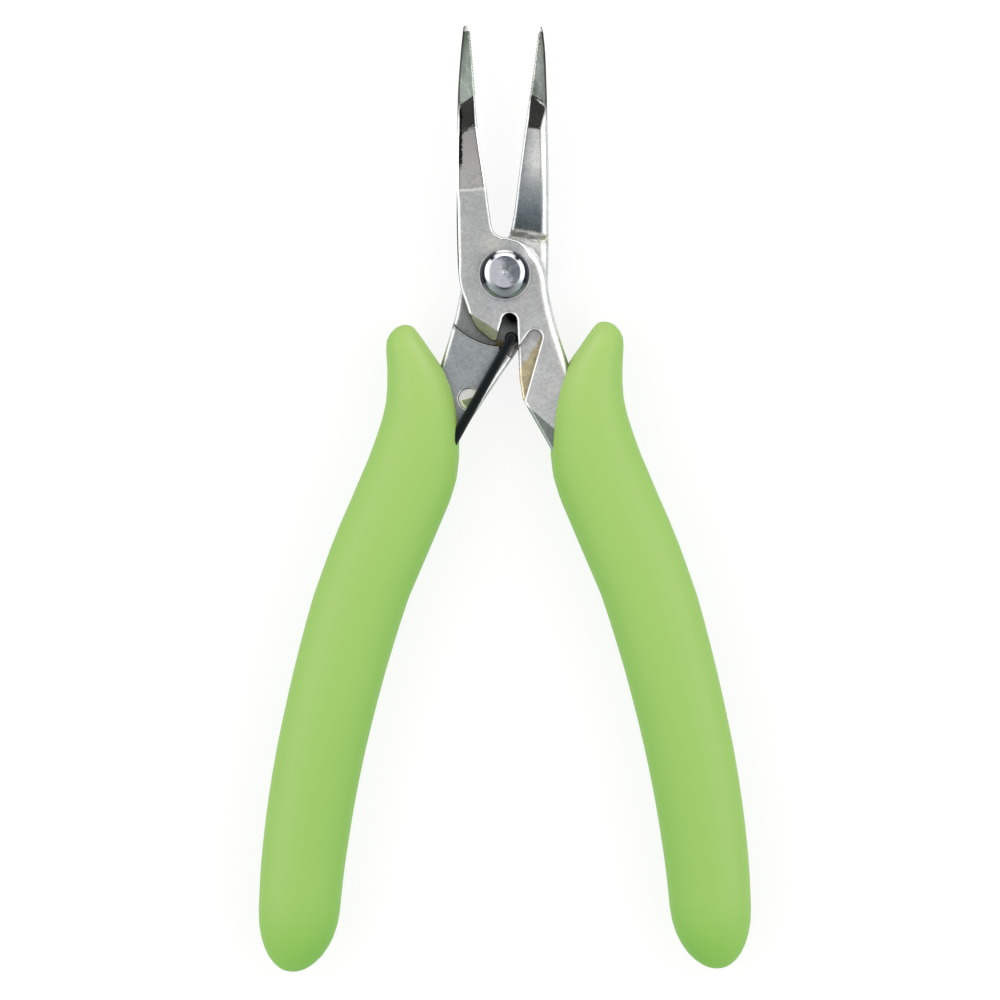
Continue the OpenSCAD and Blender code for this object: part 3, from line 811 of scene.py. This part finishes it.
def lathe(name, profile, centre, material, sides=128, smooth_angle=35):
    """A solid of revolution about a vertical axis from (radius, height) points, bottom to top, closed."""
    vertices, faces = [], []
    angles = np.arange(sides) * 2 * np.pi / sides
    rings = []
    for radius, height in profile:
        if radius < 1e-6:
            rings.append([len(vertices)])
            vertices.append((centre[0], centre[1], height))
        else:
            rings.append(list(range(len(vertices), len(vertices) + sides)))
            vertices += [(centre[0] + radius * math.cos(a), centre[1] + radius * math.sin(a), height)
                         for a in angles]
    for low, high in zip(rings, rings[1:]):
        for k in range(sides):
            n = (k + 1) % sides
            if len(low) == 1:
                faces.append((low[0], high[n], high[k]))
            elif len(high) == 1:
                faces.append((low[k], low[n], high[0]))
            else:
                faces.append((low[k], low[n], high[n], high[k]))
    return make_object(name, vertices, faces, material, smooth_angle)


def rivet():
    """The rivet: a domed head with a turned flat a little off its centre, a shank and a low tail."""
    low, high = [np.array(v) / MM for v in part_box("pivot_rivet")]
    washer_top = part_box("pivot_washer")[1].z / MM
    head = (high[0] - low[0]) / 2
    flat = 2.42
    first, last = np.radians(16), np.radians(70)
    curve = (head - flat) / (math.sin(last) - math.sin(first))
    rise = curve * (math.cos(first) - math.cos(last))
    foot = high[2] - 0.03 - rise
    profile = [(0, low[2]), (2.3, low[2])]
    profile += [(2.3 + 1.0 * math.sin(a), low[2] + 0.88 * (1 - math.cos(a)))
                for a in np.radians(np.arange(10, 91, 10))]
    profile += [(2.5, low[2] + 0.9), (2.5, washer_top), (head - 0.12, washer_top)]
    profile += [(head - 0.12 + 0.12 * math.sin(a), washer_top + 0.12 * (1 - math.cos(a)))
                for a in np.radians(np.arange(15, 91, 15))]
    profile += [(flat + curve * (math.sin(a) - math.sin(first)), foot + curve * (math.cos(a) - math.cos(last)))
                for a in np.linspace(last, first, 24)]
    profile += [(flat - 0.02, high[2] - 0.03), (flat - 0.07, high[2] - 0.06), (flat - 0.14, high[2] - 0.05),
                (1.2, high[2] - 0.05), (0.22, high[2] - 0.045), (0.12, high[2]), (0, high[2])]
    made = lathe("rivet", profile, PIVOT, polished("rivet_steel"), 160)
    for vertex in made.data.vertices:
        lift = min(max((vertex.co.z / MM - foot) / rise, 0), 1)
        vertex.co.x += RIVET_OFFSET[0] * lift * MM
        vertex.co.y += RIVET_OFFSET[1] * lift * MM
    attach(made, "rear_half")
    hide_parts("pivot_rivet")
    return made


def washer(material):
    low, high = [np.array(v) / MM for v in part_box("pivot_washer")]
    outer = (high[0] - low[0]) / 2
    soft = 0.07
    profile = [(2.56, low[2]), (outer - soft, low[2])]
    profile += [(outer - soft + soft * math.cos(a), high[2] - soft + soft * math.sin(a))
                for a in np.radians(np.arange(-90, 91, 15))]
    profile += [(2.56, high[2]), (2.56, low[2])]
    made = lathe("washer", profile, PIVOT, material)
    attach(made, "rear_half")
    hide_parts("pivot_washer")
    return made


def spring():
    """The bent wire as one tube along a rounded path to its knob."""
    low, high = [np.array(v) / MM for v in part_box("return_spring")]
    top = high[2]
    radius = 0.76
    knob = np.array([high[0] - 0.9, 0])
    knob[1] = high[1] - 0.9
    z = top - radius
    foot = np.array([FOOT[0], FOOT[1], z])
    knob = np.array([knob[0], knob[1], z])
    along = (knob - foot) / np.linalg.norm(knob - foot)
    bend = 0.75
    path, sizes = [], []
    for depth in (3.0, 2.0, 1.2):
        path.append(foot - np.array([0, 0, depth]))
        sizes.append(radius)
    for turn in np.radians(np.arange(0, 91, 15)):
        path.append(foot + along * 0.8 * (1 - math.cos(turn)) - np.array([0, 0, 0.8 * (1 - math.sin(turn))]))
        sizes.append(radius)
    reach = np.linalg.norm(knob - foot) - bend
    for share in np.linspace(0.06, 1, 40):
        path.append(foot + along * (0.8 + (reach - 0.8) * share))
        sizes.append(radius - 0.1 * share)
    for turn in np.radians(np.arange(10, 91, 10)):
        path.append(foot + along * (reach + bend * math.sin(turn))
                    - np.array([0, 0, bend * (1 - math.cos(turn))]))
        sizes.append(radius - 0.1 + 0.3 * math.sin(turn))
    bottom = low[2] + 1.2
    for height in np.linspace(path[-1][2] - 0.15, bottom, 5):
        path.append(np.array([knob[0], knob[1], height]))
        sizes.append(radius + 0.2)
    made = tube("spring_wire", np.array(path), np.array(sizes), black_wire("spring_black"))
    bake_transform(made)
    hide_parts("return_spring")
    return made


def tube(name, path, sizes, material, sides=28):
    """A round tube along a path, with domed ends."""
    ahead = np.gradient(path, axis=0)
    ahead /= np.linalg.norm(ahead, axis=1)[:, None]
    up = np.cross(ahead[0], [0, 1, 0])
    vertices, faces = [], []
    angles = np.arange(sides) * 2 * np.pi / sides

    def ring(centre, t, u, size):
        v = np.cross(t, u)
        return [centre + size * (math.cos(a) * u + math.sin(a) * v) for a in angles]

    rings = []
    for i, (p, t, size) in enumerate(zip(path, ahead, sizes)):
        up = up - t * (up @ t)
        up /= np.linalg.norm(up)
        if i == 0:
            for tilt in np.radians([75, 50, 25]):
                rings.append(ring(p - t * size * math.sin(tilt), t, up, size * math.cos(tilt)))
        rings.append(ring(p, t, up, size))
        if i == len(path) - 1:
            for tilt in np.radians([25, 50, 75]):
                rings.append(ring(p + t * size * math.sin(tilt), t, up, size * math.cos(tilt)))
    for r in rings:
        vertices += r
    for i in range(len(rings) - 1):
        for k in range(sides):
            n = (k + 1) % sides
            faces.append((i * sides + k, i * sides + n, (i + 1) * sides + n, (i + 1) * sides + k))
    faces.append(tuple(range(sides))[::-1])
    faces.append(tuple((len(rings) - 1) * sides + k for k in range(sides)))
    return make_object(name, np.array(vertices), faces, material)


def rounded_ends(ys, low, high, known_ys, known_sizes, reach=1.0):
    """A grip's half-width or half-depth at each y, its last millimetre at both ends drawn as an arc."""
    sizes = np.interp(ys, known_ys, known_sizes)
    for end, inward in ((low, 1), (high, -1)):
        near = (ys - end) * inward
        size = np.interp(end + inward * reach, known_ys, known_sizes)
        radius = (size ** 2 + reach ** 2) / (2 * reach)
        inside = np.clip(near, 0, reach)
        sizes = np.where(near < reach, np.sqrt(inside * (2 * radius - inside)), sizes)
    return sizes


def grip(name, node, body, outward, material):
    """A grip: the CAD grip's rings, read from its vertices, made into a finer smooth skin."""
    co = np.array([v.co for v in frame["nodes"][node].data.vertices]) / MM
    table = 0.0
    rows = {}
    for p in co:
        rows.setdefault(round(float(p[1]), 3), []).append(p)
    stations = []
    for y, points in rows.items():
        points = np.array(points)
        if len(np.unique(np.round(points[:, 2], 2))) < 9:
            continue
        top = points[points[:, 2].argmax()]
        edge = (points[:, 0] * outward).max() * outward
        stations.append((y, top[0], abs(edge - top[0]), top[2] - PIVOT[2]))
    stations = np.array(sorted(stations, key=lambda s: -s[0]))
    print(name, len(stations), "rings read")
    high, low = co[:, 1].max(), co[:, 1].min()
    fine = 150
    turn = np.linspace(0, np.pi, fine + 1)[1:-1]
    ys = high + (low - high) * (1 - np.cos(turn)) / 2
    order = stations[::-1]
    mid = np.interp(ys, order[:, 0], order[:, 1])
    wide = rounded_ends(ys, low, high, order[:, 0], order[:, 2])
    deep = rounded_ends(ys, low, high, order[:, 0], order[:, 3])
    sides = 88
    power = 2 / 2.3
    angles = np.arange(sides) * 2 * np.pi / sides
    c, s = np.cos(angles), np.sin(angles)
    ex, ez = np.sign(c) * np.abs(c) ** power, np.sign(s) * np.abs(s) ** power
    vertices = []
    for y, m, w, d in zip(ys, mid, wide, deep):
        z = PIVOT[2] + d * ez
        z = np.maximum(z, table)
        vertices += [np.array([m + w * a, y, b]) for a, b in zip(ex, z)]
    ends = [np.array([stations[0][1], high, PIVOT[2]]), np.array([stations[-1][1], low, PIVOT[2]])]
    count = len(vertices)
    vertices += ends
    faces = []
    rings = fine - 1
    for i in range(rings - 1):
        for k in range(sides):
            n = (k + 1) % sides
            faces.append((i * sides + k, (i + 1) * sides + k, (i + 1) * sides + n, i * sides + n))
    for k in range(sides):
        n = (k + 1) % sides
        faces.append((count, k, n))
        faces.append((count + 1, (rings - 1) * sides + n, (rings - 1) * sides + k))
    made = make_object(name, np.array(vertices), faces, material)
    bm = bmesh.new()
    bm.from_mesh(made.data)
    bmesh.ops.recalc_face_normals(bm, faces=bm.faces)
    bm.to_mesh(made.data)
    bm.free()
    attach(made, body)
    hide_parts(node)
    return made


# ---------------------------------------------------------------- the object

def leaned(points, lean):
    """Points about the pivot, turned so that +Y runs along a jaw that leans by an angle."""
    x, y = points[:, 0] - PIVOT[0], points[:, 1] - PIVOT[1]
    c, s = math.cos(math.radians(lean)), math.sin(math.radians(lean))
    return x * c + y * s, y * c - x * s


def placed(across, along, lean):
    """The point that leaned() gives these coordinates for."""
    c, s = math.cos(math.radians(lean)), math.sin(math.radians(lean))
    return np.array([across * c - along * s + PIVOT[0], across * s + along * c + PIVOT[1]])


def jaw_height(along, inner, slope, twist_hollow, twist_tip):
    """Height of a jaw's front about the pivot's mid-plane, its hollow and tip facet twisted sideways."""
    def plane(values):
        start, height, fall = values
        return height - fall * (along - start)
    hollow = plane(HOLLOW) + twist_hollow * inner
    tip = plane(TIP) - twist_tip * inner
    return np.maximum(np.minimum(plane(slope), hollow), tip), tip - hollow


def beyond(points, a, b):
    """Distance of points to the right of the line from a to b, given about the pivot."""
    side = np.array([(b - a)[1], -(b - a)[0]])
    return (points - PIVOT[:2] - a) @ side / np.hypot(*side)


def front_shape(points, height):
    """The left jaw's hollow and tip, the ground facet on the lobe and the small one on the handle."""
    across, along = leaned(points, JAW_FRONT)
    jaw, _ = jaw_height(along, across + 3.43, SLOPE_FRONT, 0.06, 0.04)
    height = np.where(along > 16, jaw + PIVOT[2], height)
    lobe = beyond(points, LOBE_A, LOBE_B)
    on_lobe = (lobe > 0) & (along > -12) & (points[:, 0] < PIVOT[0] - 0.3)
    height = np.where(on_lobe, height - 0.78 * lobe, height)
    nick = beyond(points, NICK_A, NICK_B)
    on_nick = (nick > 0) & (points[:, 1] < PIVOT[1] - 20) & (points[:, 0] < PIVOT[0] + 8)
    return np.where(on_nick, height - 0.16 * nick, height)


def rear_shape(points, height):
    """The right jaw's hollow and tip, a bright step where the tip's facet starts, and a softer ledge."""
    across, along = leaned(points, JAW_REAR)
    jaw, past = jaw_height(along, 1.3 - across, SLOPE_REAR, 0.0, 0.1)
    jaw -= np.clip(past / 0.045, 0, 1) * 0.1 * np.clip((across + 0.2) / 1.6, 0.2, 1)
    bent = 1.0 + 0.2598 * (along - 7.1) - 0.0176 * (along - 7.1) ** 2
    height = np.where((along > 7.1) & (along < 16), bent + PIVOT[2], height)
    height = np.where(along >= 16, jaw + PIVOT[2], height)
    ledge = np.clip((along - 5.85) / 1.2, 0, 1)
    on_ledge = (along > 5) & (along <= 7.1)
    return np.where(on_ledge, PIVOT[2] - 0.02 + 1.02 * ledge ** 1.25, height)


def crossing(lean, along_at, first=-6, last=6, parts=1):
    """Lines across a jaw, along_at(across) from the pivot."""
    stops = [placed(a, along_at(a), lean) for a in np.linspace(first, last, parts + 1)]
    return list(zip(stops, stops[1:]))


FRONT_LINES = (crossing(JAW_FRONT, lambda a: 22.9 + 0.76 * (a + 3.43))
               + crossing(JAW_FRONT, lambda a: 27.1 + 0.59 * (a + 3.43))
               + [(LOBE_A + PIVOT[:2], LOBE_B + PIVOT[:2]), (NICK_A + PIVOT[:2], NICK_B + PIVOT[:2])])
REAR_LINES = (crossing(JAW_REAR, lambda a: 5.85) + crossing(JAW_REAR, lambda a: 6.3)
              + crossing(JAW_REAR, lambda a: 27.1 + 0.59 * (1.3 - a))
              + crossing(JAW_REAR, lambda a: 27.36 + 0.59 * (1.3 - a)))


def edge_width_front(points):
    """Rounding of the front lever's edges: broad along the right side, narrow at tip, lobe and nick."""
    x, y = points[:, 0] - PIVOT[0], points[:, 1] - PIVOT[1]
    wide = np.interp(y, [-30, -10, 24, 28, 38], [0.4, 0.5, 0.48, 0.22, 0.2])
    across, along = leaned(points, JAW_FRONT)
    wide = wide + 0.24 * np.clip(along - 26, 0, 1) * (across < 0.105 * along - 6.2)
    wide = wide + 0.3 * np.clip(-x - 5, 0, 1) * np.clip(y / 2, 0, 1) * np.clip((13 - y) / 2, 0, 1)
    right = np.clip((x - 2.0 + np.clip(-y, 0, 30) * -0.22) / 2.0, 0, 1) * np.clip((6.5 - y) / 2, 0, 1)
    wide = wide + 1.1 * right * np.clip((y + 24) / 8, 0, 1)
    lobe = np.clip(beyond(points, LOBE_A, LOBE_B) + 0.4, 0, 1) * (x < -0.9) * (y > -12)
    return wide * (1 - lobe) + 0.14 * lobe


def edge_width_rear(points):
    """Rounding of the rear lever's edges: broad along the right jaw's outer side and beside the spring."""
    x, y = points[:, 0] - PIVOT[0], points[:, 1] - PIVOT[1]
    wide = np.interp(y, [-30, -10, 24, 28, 38], [0.55, 0.6, 0.5, 0.22, 0.18])
    across, along = leaned(points, JAW_REAR)
    wide = wide + 0.22 * np.clip(along - 26, 0, 1) * (across > 4.9 - 0.13 * along)
    outer = np.clip((x - 4.0) / 1.4, 0, 1) * np.clip((25.5 - y) / 3, 0, 1) * (y > 0)
    beside = np.clip((y + 0.6 * x + 22.5) / 2, 0, 1) * (x > -7 - 0.64 * (y + 20)) * (y < -11)
    left = np.clip(0.25 * y - x - 4.1, 0, 1) * np.clip((-3 - y) / 3, 0, 1)
    return wide + 0.9 * outer + 0.45 * beside * (x > -6) + 0.3 * left


front_steel = steel("front_steel", JAW_FRONT, front_tints_and_painted_light)
rear_steel = steel("rear_steel", JAW_REAR, rear_tints_and_painted_light)
for name, node, body, metal, wide_at, shape, lines in (
        ("front_lever_steel", "front_lever", "front_half", front_steel, edge_width_front,
         front_shape, FRONT_LINES),
        ("rear_lever_steel", "rear_lever", "rear_half", rear_steel, edge_width_rear,
         rear_shape, REAR_LINES)):
    lever = plate(name, node, metal, wide_at, 0.75, shape, lines)
    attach(lever, body)
    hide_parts(node)
rivet()
washer(rear_steel)
spring()
green = soft_green("grip_green")
grip("left_soft_grip", "left_grip", "rear_half", -1, green)
grip("right_soft_grip", "right_grip", "front_half", 1, green)


# ---------------------------------------------------------------- studio

def sky(add, direction):
    """Brightness of the studio by direction: grey overhead, lit left and right, dark above and below."""
    parts = add("ShaderNodeSeparateXYZ", {0: direction})
    y, z = parts.outputs["Y"], parts.outputs["Z"]
    lean = math_node(add, "DEGREES", math_node(add, "ARCCOSINE", z))

    def band(*stops):
        """A brightness that changes smoothly with the angle from overhead."""
        ramp = add("ShaderNodeValToRGB", {"Fac": math_node(add, "DIVIDE", lean, 180.0)})
        ramp.color_ramp.interpolation = "EASE"
        points = ramp.color_ramp.elements
        while len(points) < len(stops):
            points.new(0.5)
        for point, (angle, level) in zip(points, stops):
            point.position = angle / 180.0
            point.color = (level / 4, level / 4, level / 4, 1)
        return math_node(add, "MULTIPLY", ramp.outputs["Color"], 4.0)

    side = band((0, 0.64), (11, 0.66), (24, 0.95), (38, 1.7), (72, 2.0), (84, 0.7), (94, 0.08))
    above = band((0, 0.64), (14, 0.74), (18.5, 0.04), (28, 0.04), (36, 1.6), (66, 1.6), (80, 0.5), (94, 0.08))
    below = band((0, 0.64), (14, 0.64), (20, 0.10), (34, 0.14), (48, 0.9), (84, 1.0), (94, 0.3))
    flat = math_node(add, "MAXIMUM", math_node(add, "SQRT", math_node(add, "SUBTRACT", 1.0, math_node(
        add, "MULTIPLY", z, z))), 0.001)
    tall = math_node(add, "DIVIDE", y, flat)
    reach = math_node(add, "MAXIMUM", tall, math_node(add, "MULTIPLY", tall, -0.75))
    ends = add("ShaderNodeMix", {"Factor": remap(add, tall, 0.0, 1.0, -0.2, 0.2), 2: below, 3: above})
    level = add("ShaderNodeMix", {"Factor": remap(add, reach, 0.0, 1.0, 0.45, 0.75),
                                  2: side, 3: ends.outputs[0]}).outputs[0]
    warm = within(add, lean, 17, 36, 6)
    return tinted(add, level, warm, (1.0, 0.95, 0.88))


def soft_box(name, place, size, energy, colour, grip_object):
    """An area light aimed at the middle of the tool, that lights one grip only."""
    light = bpy.data.lights.new(name, "AREA")
    light.shape = "RECTANGLE"
    light.size, light.size_y = size
    light.energy = energy
    light.color = colour
    lamp = bpy.data.objects.new(name, light)
    lamp.location = place
    lamp.rotation_mode = "QUATERNION"
    lamp.rotation_quaternion = (Vector(place) - Vector((0, min(place[1], 0.02), 0))).to_track_quat("Z", "Y")
    bpy.context.scene.collection.objects.link(lamp)
    lit = bpy.data.collections.new(name)
    lit.objects.link(bpy.data.objects[grip_object])
    lamp.light_linking.receiver_collection = lit


def studio():
    """Pale floor, bright side light, grey overhead and a camera straight above, as in a catalogue shot."""
    floor_mesh = bpy.data.meshes.new("floor")
    size = 6.0
    floor_mesh.from_pydata([(-size, -size, 0), (size, -size, 0), (size, size, 0), (-size, size, 0)], [],
                           [(0, 1, 2, 3)])
    floor = bpy.data.objects.new("floor", floor_mesh)
    floor.location.z = -0.0001
    bpy.context.scene.collection.objects.link(floor)
    material, tree, shader, add = new_material("floor_white")
    glow = add("ShaderNodeEmission", {"Color": (1, 1, 1, 1), "Strength": 0.82})
    shader.inputs["Base Color"].default_value = (0.18, 0.18, 0.18, 1)
    shader.inputs["Roughness"].default_value = 1.0
    shader.inputs["Specular IOR Level"].default_value = 0.0
    both = add("ShaderNodeAddShader", {0: glow.outputs[0], 1: shader.outputs[0]})
    tree.links.new(both.outputs[0], tree.nodes["Material Output"].inputs["Surface"])
    floor_mesh.materials.append(material)

    world = bpy.data.worlds.new("studio")
    bpy.context.scene.world = world
    world.use_nodes = True
    tree = world.node_tree
    add = adder(tree)
    direction = add("ShaderNodeTexCoord").outputs["Generated"]
    background = tree.nodes["Background"]
    tree.links.new(sky(add, direction), background.inputs["Color"])

    for side, grip_object in ((-1, "left_soft_grip"), (1, "right_soft_grip")):
        soft_box("side_box", (side * 0.2, 0.0, 0.2), (0.12, 0.26), 0.38, (0.95, 0.36, 0.98), grip_object)
        soft_box("top_box", (-side * 0.05, 0.12, 0.08), (0.06, 0.06), 0.17, (0.95, 0.35, 1.0), grip_object)

    middle = Vector((-0.0007, -0.0001, 0.0))
    distance = 0.62
    camera = bpy.data.cameras.new("camera")
    camera.lens = 36.0 * (distance - 0.006) / 0.1533
    camera.clip_start = 0.05
    lens = bpy.data.objects.new("camera", camera)
    lens.location = middle + Vector((0, 0, distance))
    bpy.context.scene.collection.objects.link(lens)
    bpy.context.scene.camera = lens
    bpy.context.scene.view_settings.view_transform = "Standard"


studio()
